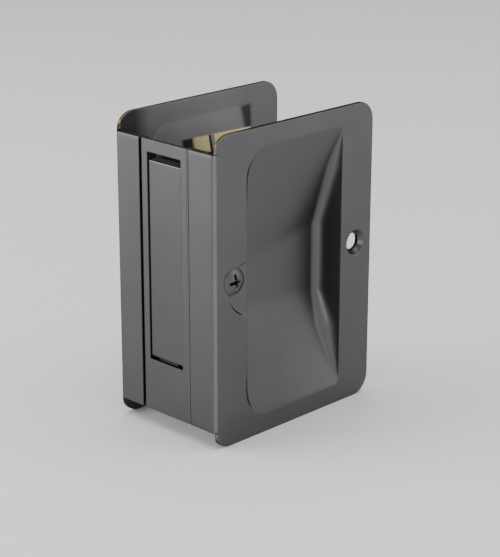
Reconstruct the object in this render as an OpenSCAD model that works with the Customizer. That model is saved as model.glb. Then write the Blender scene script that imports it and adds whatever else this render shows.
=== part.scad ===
// Adjustable pull for a pocket door. Two pressed cup plates fold round the door's edge and
// slide over an edge frame, which carries a pull that swings out of the door's edge.
// The front plate faces -Y, the door's edge is at -X, and the plates stand on Z = 0.

/* [Cup plates] */
// Height of a cup plate
plate_h = 82.5; // [81:0.5:100]
// Length of a cup plate, from the door's edge inwards
plate_w = 58.8; // [57:0.1:80]
// Radius of the plate's corners
plate_corner_r = 5.5; // [3:0.5:8]
// Thickness of the sheet of the plates and the edge frame
sheet_t = 1.0; // [0.7:0.05:1.1]
// Radius outside each fold of the sheet
fold_r = 1.25; // [1.15:0.05:1.5]

/* [Door] */
// Gap between the plates when they are pushed together
door_gap = 33.9; // [33.5:0.1:44]
// How far each plate slides out to suit a thicker door
plate_travel = 5.0; // [2:0.1:5]

/* [Flanges] */
// How far a flange still laps over the edge frame when its plate is slid out
flange_lap = 0.8; // [0.6:0.1:1]
// Height of the flange's lower end
flange_low = 4.8; // [3.5:0.1:6]
// Distance from the flange's upper end up to the top of the plate
flange_high_gap = 4.5; // [3.5:0.1:6]

/* [Finger cup] */
// Distance from the door's edge to the cup
cup_left = 11.6; // [11:0.1:14]
// Distance from the cup to the plate's far edge
cup_right_gap = 11.7; // [10.5:0.1:14]
// Distance from the cup to the top and to the bottom of the plate
cup_end_gap = 5.3; // [4:0.1:8]
// Depth of the cup's floor at the side near the door's edge
cup_shallow = 3.2; // [2:0.1:3.6]
// Depth of the cup's floor at the foot of its steep wall
cup_deep = 7.2; // [4.4:0.1:7.4]
// Width of the steep wall, from its foot to the rim
cup_wall_run = 2.4; // [2:0.1:5]
// Height of the level middle of the floor at its shallow side
cup_mid_shallow_h = 11; // [8:0.5:18]
// Height of the level middle of the floor at its deep side
cup_mid_deep_h = 19.5; // [16:0.5:26]
// Radius of the cup's corners at the shallow side
cup_corner_r = 8; // [5:0.5:9]
// Radius of the cup's corners at the steep wall
cup_wall_corner_r = 2.5; // [1:0.5:4]
// Radius of the round notch in the cup's side, beside the plate screw
notch_r = 7.2; // [6.5:0.1:7.5]
// Distance from the door's edge to the notch's centre
notch_x = 12.3; // [12:0.1:13]
// Height of the notch's centre
notch_z = 41.4; // [40:0.1:43]
// Depth of the notch's floor
notch_deep = 1.8; // [1.2:0.1:2]

/* [Screw holes] */
// Height of the screw holes
screw_z = 44.3; // [43.5:0.1:45]
// Distance from the door's edge to the plate screw
screw_x = 6.95; // [6.8:0.05:7.2]
// Distance from the wood screw's hole to the plate's far edge
wood_screw_gap = 6.0; // [5.2:0.1:6.5]
// Radius of a screw hole
hole_r = 2.3; // [2.1:0.05:2.4]
// Radius of the sunk rim round a screw hole
sink_r = 3.5; // [3.3:0.05:3.8]
// Length of the straight wall at the bottom of the sunk rim
hole_wall = 0.9; // [0.6:0.1:1.1]

/* [Plate screws] */
// Radius over the screw's thread
thread_r = 1.75; // [1.5:0.05:1.8]
// Length of the screw under its head's rim
screw_l = 12.7; // [11:0.1:14]
// Height of the head's dome
dome_h = 1.0; // [0.7:0.05:1.3]
// Width of each slot of the cross in the head
cross_w = 0.8; // [0.6:0.05:1]
// Length of each slot of the cross in the head
cross_l = 4.2; // [3:0.1:4.6]
// Depth of the cross below the head's rim
cross_deep = 0.9; // [0.5:0.1:1.2]
// Turn of the cross from upright
cross_turn = 8; // [0:1:45]

/* [Edge frame] */
// Distance from a plate's outside in to the cheek beside it
cheek_inset = 3.2; // [3.1:0.1:3.6]
// How far the frame sits from the middle, towards the front plate
frame_shift = 0.15; // [0:0.05:0.15]
// Gap between the raised panel and the flange at each side of it
panel_gap = 0.6; // [0.3:0.05:1]
// Radius along the edges of the raised panel
panel_r = 0.4; // [0.2:0.05:0.6]
// Width of the window for the edge pull
window_w = 12.1; // [10:0.1:12.4]
// Height of the window's lower edge
window_low = 19.15; // [17:0.05:21]
// Distance from the window up to the top of the plate
window_high_gap = 7.9; // [7.5:0.1:12]
// How far the cheeks' upper ends stop below the strip's end
cheek_high_cut = 2.5; // [1:0.1:5]
// How far the cheeks' lower ends stop above the strip's end
cheek_low_cut = 1.2; // [0.5:0.1:2]
// Further cut at the cheeks' free corners
cheek_corner_cut = 4; // [1:0.1:4.5]
// Radius of the bar that the plate screws turn into
bar_r = 3.2; // [2.9:0.1:3.3]
// Radius of the bar's riveted ends
bar_end_r = 2.6; // [2.4:0.1:2.7]

/* [Edge pull] */
// Thickness of the edge pull
pull_t = 1.2; // [1:0.05:1.3]
// Gap at each side of the edge pull
pull_side_gap = 0.15; // [0.1:0.05:0.3]
// Gap under the edge pull
pull_low_gap = 0.85; // [0.75:0.05:1.5]
// Slot for a fingernail above the edge pull
nail_slot = 2.0; // [1.2:0.1:3]
// How far the pull's face lies below the frame's face
pull_sunk = 0.3; // [0.2:0.05:0.5]
// Distance from the pull's face to the centre of its pin
pin_depth = 3.5; // [3.4:0.1:3.8]
// Radius of the knuckle at the pull's foot
knuckle_r = 3.2; // [2.9:0.1:3.3]
// Depth of the lip at the pull's head
lip_depth = 2.0; // [1.5:0.1:2.5]
// Height of the pad on the pull's back that meets the stop pin
pad_h = 5; // [3:0.5:8]
// Radius of the pin that the pull turns on
pin_r = 1.0; // [0.9:0.05:1.1]
// Radius of the pin that stops the pull
stop_r = 1.5; // [1:0.1:2]
// Distance from the stop pin's centre down from the top of the plate
stop_drop = 16.5; // [14:0.5:20]

/* [Friction spring] */
// Thickness of the leaf that rubs on the pull's knuckle
leaf_t = 0.4; // [0.3:0.05:0.6]
// Width of the leaf
leaf_w = 7; // [5:0.5:9]
// Side of the square bar that holds the leaf
leaf_bar = 4; // [3.4:0.1:4.2]
// Height of the square bar's centre
leaf_bar_z = 12.5; // [11.5:0.1:13]
// Radius of the leaf screw's head
leaf_head_r = 1.7; // [1.4:0.1:2]

/* [Clearances] */
// Gap between sliding sheets
slide_gap = 0.05; // [0.03:0.01:0.1]
// Radial clearance of a pin or thread in its hole
pin_gap = 0.05; // [0.02:0.01:0.1]
// Gap between a piece and the stop or spring that it rests against
rest_gap = 0.3; // [0.2:0.05:0.4]

/* [Hidden] */
$fn = 64;
plated = [0.33, 0.33, 0.34];
brass = [0.72, 0.60, 0.35];
steel = [0.60, 0.60, 0.62];
// How far a cut goes on past the surface that it leaves
over = 1;
// Distance over the two plates
stack = door_gap + 2 * sheet_t;
// A flange covers the frame's edge, also when its plate is slid out
flange_w = cheek_inset + plate_travel + flange_lap;
frame_w = stack - 2 * cheek_inset;
// Flange and frame ends
flange_h = plate_h - flange_low - flange_high_gap;
// Cup limits, and how steep its wall is
cup_right = plate_w - cup_right_gap;
cup_mid_z = plate_h / 2;
cup_half_h = plate_h / 2 - cup_end_gap;
cup_foot = cup_right - cup_wall_run;
wall_slope = cup_deep / cup_wall_run;
// The cavity starts outside the face of the plate
cup_above = 2;
// The floor's surface is drawn in strips, and goes on past the cup at both sides
floor_steps = 4;
floor_past = 3;
// Width of the step from the notch's floor down to the cup's floor
notch_step = 0.2;
// A countersunk screw's cone, 82 degrees across
cone_slope = tan(41);
sink_depth = (sink_r - hole_r) / cone_slope;
wood_screw_x = plate_w - wood_screw_gap;
head_r = sink_r - pin_gap;
// Frame faces: the panel is level with the flanges, the rest lies under them
frame_x = sheet_t + slide_gap;
frame_back = frame_x + sheet_t;
panel_w = stack - 2 * flange_w - 2 * panel_gap;
panel_half = panel_w / 2;
cheek_end = cup_left - sheet_t - rest_gap;
cheek_in = frame_w / 2 - sheet_t;
cheek_cut_gap = 0.5;
cheek_low_slope = 0.7 * cheek_corner_cut;
window_h = plate_h - window_high_gap - window_low;
// Edge pull and its pin
pull_w = window_w - 2 * pull_side_gap;
pull_x = pull_sunk;
pull_low = window_low + pull_low_gap;
pull_high = window_low + window_h - nail_slot;
pin_x = pull_x + pin_depth;
pin_z = pull_low + knuckle_r;
spacer_r = pin_x - frame_back - 2 * slide_gap;
stop_x = frame_back + 2 * slide_gap + stop_r;
stop_z = plate_h - stop_drop;
pad_t = stop_x - stop_r - rest_gap - pull_x - pull_t;
// Friction spring
leaf_x = pin_x + knuckle_r + rest_gap;
leaf_end_step = 0.6;
leaf_end_r = leaf_bar / 2 - leaf_end_step;
leaf_screw_r = leaf_head_r / 2;
leaf_screw_end = 0.7;
leaf_screw_l = leaf_bar - leaf_screw_end;
leaf_head_h = 0.6 * leaf_head_r;
leaf_slot_w = 0.4;
leaf_up = 4;
leaf_tip_h = 1.5;

// Moves a piece from the door's edge to the middle of the plate
module placed() translate([-plate_w / 2, 0, 0]) children();

// Moves a piece of the frame to its place between the plates
module framed() translate([-plate_w / 2, -frame_shift, 0]) children();

// Extrudes an outline drawn in X and Z from one Y to another
module slab(y0, y1) translate([0, y1, 0]) rotate([90, 0, 0]) linear_extrude(y1 - y0) children();

// A round bar along Y
module y_bar(x, z, y0, y1, r) translate([x, y0, z]) rotate([-90, 0, 0]) cylinder(h = y1 - y0, r = r);

// A rectangle with one corner radius at the left and another at the right
module round_rect(w, h, left_r, right_r) {
    translate([left_r, 0]) square([w - left_r - right_r, h]);
    translate([0, left_r]) square([left_r, h - 2 * left_r]);
    translate([w - right_r, right_r]) square([right_r, h - 2 * right_r]);
    for (z = [left_r, h - left_r]) translate([left_r, z]) circle(left_r);
    for (z = [right_r, h - right_r]) translate([w - right_r, z]) circle(right_r);
}

// Depth of the level middle of the floor, with its step at x0, and half its height
function mid_depth(x, x0) = x < x0 - notch_step / 2 ? notch_deep
    : cup_shallow + (cup_deep - cup_shallow) * (x - cup_left) / (cup_foot - cup_left);
function mid_half(x) = (cup_mid_shallow_h
    + (cup_mid_deep_h - cup_mid_shallow_h) * (x - cup_left) / (cup_foot - cup_left)) / 2;

// The floor falls from the rim at share 0 to its level middle at share 1
shares = [-0.15, 0, 0.33, 0.67, 1];
rows = concat([for (s = shares) [-1, s]], [for (i = [len(shares) - 1:-1:0]) [1, shares[i]]]);
floor_x0 = notch_x - notch_r - floor_past;
floor_x1 = cup_right + floor_past;
function columns(x0) = concat([floor_x0, x0 - notch_step],
    [for (i = [0:floor_steps]) x0 + i * (floor_x1 - x0) / floor_steps]);
function row_z(x, row) = cup_mid_z + row[0] * (cup_half_h - row[1] * (cup_half_h - mid_half(x)));

// Everything in front of the floor, which is set deeper by extra
module above_floor(extra) {
    x0 = cup_left - extra;
    m = len(rows);
    n = len(columns(x0));
    layer = n * m;
    points = concat(
        [for (x = columns(x0), row = rows) [x, -cup_above, row_z(x, row)]],
        [for (x = columns(x0), row = rows) [x, mid_depth(x, x0) * row[1] + extra, row_z(x, row)]]);
    floor_faces = [for (i = [0:n - 2], j = [0:m - 2], half = [0, 1])
        let (a = layer + i * m + j) half == 0 ? [a, a + m, a + m + 1] : [a, a + m + 1, a + 1]];
    top_faces = [for (i = [0:n - 2], j = [0:m - 2])
        let (a = i * m + j) [a + 1, a + m + 1, a + m, a]];
    left_faces = [for (j = [0:m - 2]) [j, layer + j, layer + j + 1, j + 1]];
    right_faces = [for (j = [0:m - 2])
        let (a = (n - 1) * m + j) [a + 1, layer + a + 1, layer + a, a]];
    low_faces = [for (i = [0:n - 2])
        let (a = i * m) [a, a + m, layer + a + m, layer + a]];
    high_faces = [for (i = [0:n - 2])
        let (a = i * m + m - 1) [layer + a, layer + a + m, a + m, a]];
    polyhedron(points, concat(floor_faces, top_faces, left_faces, right_faces, low_faces, high_faces));
}

// Everything on the cup's side of its steep wall, for a wall moved outwards by extra
module inside_wall(extra) {
    shift = extra * sqrt(1 + wall_slope * wall_slope) / wall_slope;
    deepest = 3 * cup_deep;
    translate([0, 0, -over]) linear_extrude(plate_h + 2 * over) polygon([
        [-cup_left, -2 * cup_above],
        [cup_right + shift + 2 * cup_above / wall_slope, -2 * cup_above],
        [cup_right + shift - deepest / wall_slope, deepest],
        [-cup_left, deepest]]);
}

// The cup's outline on the plate, with its round notch, grown by extra
module cup_outline(extra) {
    translate([cup_left - extra, cup_end_gap - extra])
        round_rect(cup_right - cup_left + 2 * extra, plate_h - 2 * cup_end_gap + 2 * extra,
            cup_corner_r + extra, cup_wall_corner_r + extra);
    translate([notch_x, notch_z]) circle(notch_r + extra);
}

// The cup as a solid: its cavity, or with extra the outside of its sheet
module cup_form(extra) intersection() {
    slab(-2 * cup_above, 2 * cup_deep) cup_outline(extra);
    above_floor(extra);
    inside_wall(extra);
}

// The sunk rim of a screw hole, as a solid of revolution along Y
module sunk_rim(x) translate([x, 0, screw_z]) rotate([-90, 0, 0]) rotate_extrude() polygon([
    [0, 0], [sink_r + slide_gap, 0], [hole_r + sheet_t, sink_depth + slide_gap],
    [hole_r + sheet_t, sink_depth + hole_wall], [0, sink_depth + hole_wall]]);

// The cone and the straight bore that are cut into the sunk rim
module sunk_hole(x) translate([x, -over, screw_z]) rotate([-90, 0, 0]) {
    cylinder(h = sink_depth + hole_wall + 2 * over, r = hole_r);
    cylinder(h = over + sink_depth, r1 = sink_r + over * cone_slope, r2 = hole_r);
}

// The flat sheet and the flange, folded from one piece
module folded_sheet() {
    inner_r = fold_r - sheet_t;
    difference() {
        slab(0, sheet_t) round_rect(plate_w, plate_h, plate_corner_r, plate_corner_r);
        translate([-over, -over, flange_low]) cube([fold_r + over, sheet_t + 2 * over, flange_h]);
    }
    translate([0, 0, flange_low]) linear_extrude(flange_h) difference() {
        union() {
            translate([fold_r, fold_r]) circle(fold_r);
            translate([0, fold_r]) square([sheet_t, flange_w - fold_r]);
            translate([fold_r, 0]) square([fold_r, sheet_t]);
        }
        translate([fold_r, fold_r]) circle(inner_r);
        translate([fold_r, fold_r]) square(fold_r + over);
        translate([sheet_t, fold_r]) square([fold_r, fold_r + over]);
        translate([fold_r, sheet_t]) square([fold_r + over, fold_r]);
    }
}

// One cup plate, with its outer face on Y = 0 and its cup towards +Y
module cup_plate() difference() {
    union() {
        difference() {
            union() {
                folded_sheet();
                intersection() {
                    cup_form(sheet_t);
                    slab(0, 3 * cup_deep) square([plate_w, plate_h]);
                }
            }
            cup_form(0);
        }
        sunk_rim(screw_x);
        sunk_rim(wood_screw_x);
    }
    sunk_hole(screw_x);
    sunk_hole(wood_screw_x);
}

module front_plate() color(plated) placed() translate([0, -stack / 2, 0]) cup_plate();

module back_plate() color(plated) mirror([0, 1, 0]) placed() translate([0, -stack / 2, 0]) cup_plate();

// Oval head screw, with its head's rim on Y = 0 and its tip towards +Y
module oval_screw() {
    dome_r = (head_r * head_r + dome_h * dome_h) / (2 * dome_h);
    cone_l = (head_r - thread_r) / cone_slope;
    difference() {
        rotate([-90, 0, 0]) union() {
            intersection() {
                translate([0, 0, dome_r - dome_h]) sphere(dome_r);
                translate([0, 0, -dome_h - over]) cylinder(h = dome_h + over, r = head_r);
            }
            rotate_extrude() polygon([[0, 0], [head_r, 0], [thread_r, cone_l],
                [thread_r, screw_l - thread_r / 3], [thread_r * 2 / 3, screw_l], [0, screw_l]]);
        }
        for (turn = [cross_turn, cross_turn + 90]) rotate([0, turn, 0])
            translate([-cross_w / 2, -dome_h - over, -cross_l / 2])
                cube([cross_w, dome_h + over + cross_deep, cross_l]);
    }
}

module front_plate_screw() color(plated) placed() translate([screw_x, -stack / 2, screw_z]) oval_screw();

module back_plate_screw() color(plated) mirror([0, 1, 0]) placed()
    translate([screw_x, -stack / 2, screw_z]) oval_screw();

// Holes in both cheeks
module cheek_hole(x, z, r) y_bar(x, z, -frame_w, frame_w, r);

// What is cut off one end of the cheeks, from beyond the end to a slope across them
module cheek_cut(beyond, end, slope) polygon([
    [frame_back + cheek_cut_gap, beyond], [frame_back + cheek_cut_gap, end],
    [cheek_end + over, end + slope], [cheek_end + over, beyond]]);

// The frame's section: a raised panel, a wing at each side of it, and two cheeks
module frame_section() difference() {
    union() {
        translate([frame_x, -frame_w / 2]) round_rect(2 * cheek_end, frame_w, fold_r, fold_r);
        intersection() {
            translate([0, -panel_half]) round_rect(2 * cheek_end, panel_w, panel_r, panel_r);
            translate([0, -panel_half]) square([frame_back, panel_w]);
        }
    }
    translate([frame_back, -cheek_in])
        round_rect(2 * cheek_end, 2 * cheek_in, fold_r - sheet_t, fold_r - sheet_t);
    translate([sheet_t, sheet_t - panel_half]) square([frame_back, panel_w - 2 * sheet_t]);
    translate([cheek_end, -frame_w]) square([2 * cheek_end, 2 * frame_w]);
}

// The folded frame, with its window and its holes
module edge_frame() color(plated) framed() difference() {
    translate([0, 0, flange_low]) linear_extrude(flange_h) frame_section();
    translate([-over, -window_w / 2, window_low]) cube([frame_back + fold_r, window_w, window_h]);
    slab(-frame_w, frame_w) {
        cheek_cut(plate_h, plate_h - flange_high_gap - cheek_high_cut, -cheek_corner_cut);
        cheek_cut(0, flange_low + cheek_low_cut, cheek_low_slope);
    }
    cheek_hole(screw_x, screw_z, bar_end_r + slide_gap);
    cheek_hole(stop_x, stop_z, stop_r + slide_gap);
    cheek_hole(pin_x, pin_z, pin_r + slide_gap);
    cheek_hole(leaf_x - leaf_bar / 2, leaf_bar_z, leaf_end_r + slide_gap);
}

// The bar between the cheeks, bored for both plate screws
module cross_bar() color(brass) framed() difference() {
    union() {
        y_bar(screw_x, screw_z, -cheek_in, cheek_in, bar_r);
        y_bar(screw_x, screw_z, -frame_w / 2, frame_w / 2, bar_end_r);
    }
    y_bar(screw_x, screw_z, -frame_w, frame_w, thread_r + pin_gap);
}

module stop_pin() color(steel) framed() y_bar(stop_x, stop_z, -frame_w / 2, frame_w / 2, stop_r);

module pull_pin() color(steel) framed() y_bar(pin_x, pin_z, -frame_w / 2, frame_w / 2, pin_r);

// The pull: a flat face, a lip at its head, a pad for the stop and a knuckle at its foot
module edge_pull() color(plated) framed() difference() {
    union() {
        translate([pull_x, -pull_w / 2, pull_low]) cube([pull_t, pull_w, pull_high - pull_low]);
        translate([pull_x, -pull_w / 2, pull_low]) cube([pin_depth, pull_w, knuckle_r]);
        translate([pull_x, -pull_w / 4, stop_z - pad_h / 2]) cube([pull_t + pad_t, pull_w / 2, pad_h]);
        translate([pull_x, -pull_w / 2, pull_high - pull_t])
            cube([pull_t + lip_depth, pull_w, pull_t]);
        y_bar(pin_x, pin_z, -pull_w / 2, pull_w / 2, knuckle_r);
    }
    y_bar(pin_x, pin_z, -pull_w, pull_w, pin_r + pin_gap);
}

// A tube on the pin that keeps the pull in the middle of its window
module spacer() color(brass) difference() {
    y_bar(pin_x, pin_z, -cheek_in + slide_gap, -pull_w / 2 - slide_gap, spacer_r);
    y_bar(pin_x, pin_z, -frame_w, 0, pin_r + pin_gap);
}

module front_spacer() framed() spacer();

module back_spacer() framed() mirror([0, 1, 0]) spacer();

// Square bar between the cheeks, with riveted ends and a hole for the leaf's screw
module spring_bar() color(brass) framed() difference() {
    union() {
        translate([leaf_x - leaf_bar, -cheek_in, leaf_bar_z - leaf_bar / 2])
            cube([leaf_bar, 2 * cheek_in, leaf_bar]);
        y_bar(leaf_x - leaf_bar / 2, leaf_bar_z, -frame_w / 2, frame_w / 2, leaf_end_r);
    }
    translate([leaf_x - leaf_screw_l - slide_gap, 0, leaf_bar_z]) rotate([0, 90, 0])
        cylinder(h = 2 * leaf_bar, r = leaf_screw_r + pin_gap);
}

// The leaf: flat where the screw holds it, and bent away at its free end
module leaf_spring() color(steel) framed() difference() {
    top = pin_z + leaf_up;
    slab(-leaf_w / 2, leaf_w / 2) polygon([
        [leaf_x, leaf_bar_z - leaf_bar / 2], [leaf_x + leaf_t, leaf_bar_z - leaf_bar / 2],
        [leaf_x + leaf_t, top], [leaf_x + 3 * leaf_t, top + leaf_tip_h],
        [leaf_x + 2 * leaf_t, top + leaf_tip_h], [leaf_x, top]]);
    translate([leaf_x - over, 0, leaf_bar_z]) rotate([0, 90, 0])
        cylinder(h = leaf_t + 2 * over, r = leaf_screw_r + pin_gap);
}

module leaf_screw() color(steel) framed() translate([leaf_x + leaf_t, 0, leaf_bar_z]) rotate([0, 90, 0])
    difference() {
        union() {
            cylinder(h = leaf_head_h, r = leaf_head_r);
            translate([0, 0, -leaf_screw_l - leaf_t]) cylinder(h = leaf_screw_l + leaf_t, r = leaf_screw_r);
        }
        translate([-leaf_head_r, -leaf_slot_w / 2, leaf_head_h / 2])
            cube([2 * leaf_head_r, leaf_slot_w, leaf_head_r]);
    }

front_plate();
back_plate();
front_plate_screw();
back_plate_screw();
edge_frame();
cross_bar();
stop_pin();
edge_pull();
pull_pin();
front_spacer();
back_spacer();
spring_bar();
leaf_spring();
leaf_screw();
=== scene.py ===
import math

import bmesh
import bpy
import numpy as np
from mathutils import Matrix, Vector
from mathutils.geometry import delaunay_2d_cdt


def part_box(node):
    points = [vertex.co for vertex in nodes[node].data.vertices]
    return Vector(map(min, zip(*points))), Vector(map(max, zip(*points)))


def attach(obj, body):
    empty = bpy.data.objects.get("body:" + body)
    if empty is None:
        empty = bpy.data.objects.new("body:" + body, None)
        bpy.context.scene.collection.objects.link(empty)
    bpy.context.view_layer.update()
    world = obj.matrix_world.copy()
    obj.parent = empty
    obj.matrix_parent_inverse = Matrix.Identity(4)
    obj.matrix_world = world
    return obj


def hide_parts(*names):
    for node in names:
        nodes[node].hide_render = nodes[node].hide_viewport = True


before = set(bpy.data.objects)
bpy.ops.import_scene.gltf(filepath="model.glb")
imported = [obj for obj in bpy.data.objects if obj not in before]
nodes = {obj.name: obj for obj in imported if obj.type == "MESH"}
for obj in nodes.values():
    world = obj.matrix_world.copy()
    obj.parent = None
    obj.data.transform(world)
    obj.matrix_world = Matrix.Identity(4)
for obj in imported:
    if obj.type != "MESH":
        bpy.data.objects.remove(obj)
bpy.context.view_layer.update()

# Sizes that the frame gives
mm = 0.001
plate_low, plate_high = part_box("front_plate")
strip_low, strip_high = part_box("edge_frame")
pull_low, pull_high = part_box("edge_pull")
screw_low, screw_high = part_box("front_plate_screw")
edge_x = plate_low.x
front_y = plate_low.y
back_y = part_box("back_plate")[1].y
plate_w = plate_high.x - plate_low.x
plate_h = plate_high.z
flange_w = plate_high.y - plate_low.y
flange_z0 = strip_low.z
flange_z1 = strip_high.z
head_r = (screw_high.x - screw_low.x) / 2


def middle(node):
    """Where a node's middle lies: its distance behind the door's edge, and its height."""
    low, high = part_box(node)
    return (low.x + high.x) / 2 - edge_x, (low.z + high.z) / 2


screw_x, screw_z = middle("front_plate_screw")
pin_x, pin_z = middle("pull_pin")
stop_x, stop_z = middle("stop_pin")
bar_x, bar_z = middle("spring_bar")

# Sheet
sheet_t = 1.0 * mm
fold_r = 1.1 * mm
corner_r = 5.5 * mm
edge_round = 0.15 * mm
back_round = 0.08 * mm
hole_round = 0.05 * mm
slide_gap = 0.05 * mm
flange_end = fold_r - fold_r * math.pi / 2 - (flange_w - fold_r)

# Finger cup, measured from the door's edge and from the plate's face
cup_left = 11.6 * mm
cup_right = 47.1 * mm
cup_end = 5.3 * mm
cup_shallow = 3.2 * mm
cup_deep = 7.2 * mm
cup_foot = 44.7 * mm
level_shallow_h = 11.0 * mm
level_deep_h = 19.5 * mm
cup_corner_r = 8.0 * mm
wall_corner_r = 2.5 * mm
left_slope = 2.2
right_slope = 3.0
left_foot_r = 0.8 * mm
right_foot_r = 4.0 * mm
low_foot_r = 6.0 * mm
low_foot_run = 8.0 * mm
rim_round = 0.1 * mm
rim_soft = 0.12 * mm
crease_soft = 0.3 * mm
fillet_share = 0.85
tiny = 1e-9

# Round notch in the cup's side: its floor falls away from its end beside the cup
notch_r = 7.2 * mm
notch_x = 12.3 * mm
notch_z = 41.4 * mm
notch_end = 11.7 * mm
notch_fall = 0.38
notch_least = 0.08 * mm
notch_deep = 1.85 * mm
notch_slope = 1.6
notch_foot_r = 0.5 * mm

# Painted highlight on the bends at the door's edge
highlight_start = 0.02 * mm
highlight_soft = 0.3 * mm

# Painted shade on the cup's sides: the steep one is painted dark, and the other nearly black near its
# upper and lower end
steep_from_x = cup_foot - 6.0 * mm
steep_to_x = plate_w - 4.0 * mm
steep_soft = 2.0 * mm
side_from_x = cup_left - 1.3 * mm
side_to_x = cup_left + 1.9 * mm
side_soft = 1.3 * mm
corner_shade_low = 62.0 * mm
corner_shade_high = 76.5 * mm
corner_shade_soft = 4.0 * mm

# Bare brass on the plates' inner side, behind the finger cup, with a painted shade line and a grey line
# across it
brass_x = 25.0 * mm
brass_low = 12.0 * mm
brass_high = 71.9 * mm
brass_fall = 0.02
dark_line_x0 = 31.0 * mm
dark_line_x1 = 32.0 * mm
grey_line_x1 = 33.2 * mm

# The inner side's painted shadow strip beside the brass, painted shade from there to the cheeks, and the
# greys of its painted shade and light
shade_x0 = brass_x - 4.0 * mm
shade_x1 = brass_x + 1.2 * mm
hollow_x0 = brass_x - 17.0 * mm
hollow_high = 70.0 * mm
fold_dark_x = 6.0 * mm
fold_grey_x = 11.0 * mm
near_grey_x = 22.0 * mm
far_grey_x = 47.0 * mm

# Cut edges, worn to the brass at the upper corner by the fold
worn_x = 8.0 * mm
worn_end_x = 13.0 * mm
worn_z = plate_h - 3.0 * mm
worn_end_z = plate_h - 5.0 * mm

# Edge frame: a raised panel, a wing at each side of it and two cheeks
frame_y = (strip_low.y + strip_high.y) / 2
frame_half = (strip_high.y - strip_low.y) / 2
panel_gap = 0.42 * mm
panel_half = (back_y - front_y) / 2 - flange_w - panel_gap
panel_r = 0.6 * mm
joggle_r = 0.15 * mm
wing_x = sheet_t + slide_gap
bend_r = 1.25 * mm
window_half = 6.05 * mm
window_z0 = 19.15 * mm
window_z1 = plate_h - 7.9 * mm
window_r = 0.25 * mm

# Cheeks: where their free edge and their root lie, and how far short of the strip's ends each stops
cheek_end = strip_high.x - edge_x
cheek_step_x = wing_x + sheet_t + 0.5 * mm
cheek_low_cut = 1.2 * mm
cheek_high_cut = 2.5 * mm
cheek_low_end = 3.68 * mm
cheek_high_end = 6.04 * mm
cheek_step_r = 0.3 * mm
cheek_root_r = 0.1 * mm
cheek_corner_r = 0.4 * mm
cross_bar_hole_r = 2.65 * mm
stop_hole_r = 1.55 * mm
pin_hole_r = 1.05 * mm
spring_bar_hole_r = 1.45 * mm

# Edge pull
pull_t = 1.2 * mm
lip_depth = 2.0 * mm
knuckle_r = 3.2 * mm
pull_round = 0.3 * mm
pull_side_round = 0.2 * mm
pad_h = 5.0 * mm
pad_x = 1.85 * mm
pad_corner_r = 0.2 * mm
pad_round = 0.1 * mm
pad_step = 1.0 * mm

# Screws
thread_r = 1.75 * mm
thread_pitch = 25.4 * mm / 32
thread_deep = 0.38 * mm
thread_run_in = 0.6 * mm
thread_run_out = 0.9 * mm
crest_slope = 2.7
tip_taper = 0.25 * mm
tip_length = 0.5 * mm
head_rim = 0.12 * mm
head_edge = 0.03 * mm
head_edge_share = 0.45
dome_h = 1.0 * mm
cross_turn = math.radians(8)
cross_half_w = 0.42 * mm
cross_half_l = 2.15 * mm
cross_deep = 1.5 * mm
cross_side_slope = 5
cross_side_run = 0.3 * mm
cross_side_soft = 0.12 * mm
cross_end_slope = 0.95
cross_end_run = 0.05 * mm
cross_end_soft = 0.06 * mm

# Screw holes
hole_r = 2.3 * mm
sink_r = 3.5 * mm
sink_soft = 0.06 * mm
collar_w = 0.15 * mm
collar_soft = 0.1 * mm
collar_slope = 3
boss_edge = 0.35 * mm
seat_off = 0.08 * mm
cone_slope = math.tan(math.radians(41))
sink_depth = (sink_r - hole_r) / cone_slope
hole_wall = 0.9 * mm
wood_screw_x = plate_w - 6.0 * mm

# How fine the meshes are, and how far points stay from each other beside a rim
fine = 0.25 * mm
fold_rows = 73
fold_step = 0.22 * mm
flange_foot_step = 0.4 * mm
long_step = 1.5 * mm
corner_steps = 14
panel_steps = 8
joggle_steps = 6
bend_steps = 10
knuckle_steps = 28
arc_turn = 0.3
rim_step = 0.5 * mm
rim_columns = np.array([-0.75, -0.5, -0.3, -0.15, -0.05, 0.05, 0.2, 0.45]) * mm
rim_clear_x = 0.85 * mm
rim_clear_z = 0.3 * mm
panel_points = (0, 2 * mm, 4 * mm, 5.5 * mm, 6.4 * mm)
wing_shares = (0.1, 0.3, 0.6, 0.9)
cheek_points = (cheek_step_x, 4 * mm, 6 * mm, 8 * mm, cheek_end)
frame_rows = 49
frame_row_inset = 0.8 * mm
screw_columns = 72
thread_rows = 9
head_step = 0.085 * mm
guard_gap = 0.2 * mm
plate_guard_gap = 0.15 * mm
near_gap = 0.08 * mm
tip_gap = 0.02 * mm
column_gap = 0.05 * mm
least_run = 1.0 * mm
thick_sheet = 2.0 * mm
chunk = 64


def rise(value, soft):
    """Zero below, the value itself above, with a round turn that is soft wide at each side."""
    turn = (value + soft) ** 2 / (4 * soft)
    return np.where(value < -soft, 0.0, np.where(value > soft, value, turn))


def filleted(floor, wall, slope, radius):
    """The shallower of floor and wall, with a fillet where they meet. The floor counts as level."""
    steep = np.sqrt(1 + slope * slope)
    radius = np.minimum(radius, fillet_share * floor / (1 - 1 / steep)) + tiny
    side = (floor - wall + radius * (steep - 1)) / slope
    curve = floor - radius + np.sqrt(np.maximum(radius ** 2 - side ** 2, 0))
    return np.where((side > 0) & (side < radius * slope / steep), curve, np.minimum(floor, wall))


def inside_outline(x, z):
    """Distance inside the cup's outline, negative outside it."""
    mid_x, half_x = (cup_left + cup_right) / 2, (cup_right - cup_left) / 2
    radius = np.where(x < mid_x, cup_corner_r, wall_corner_r)
    over_x = np.abs(x - mid_x) - half_x + radius
    over_z = np.abs(z - plate_h / 2) - plate_h / 2 + cup_end + radius
    corner = np.hypot(np.maximum(over_x, 0), np.maximum(over_z, 0))
    return radius - corner - np.minimum(np.maximum(over_x, over_z), 0)


def inside_notch(x, z):
    """Distance inside the round notch, negative outside it."""
    return notch_r - np.hypot(x - notch_x, z - notch_z)


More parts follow.
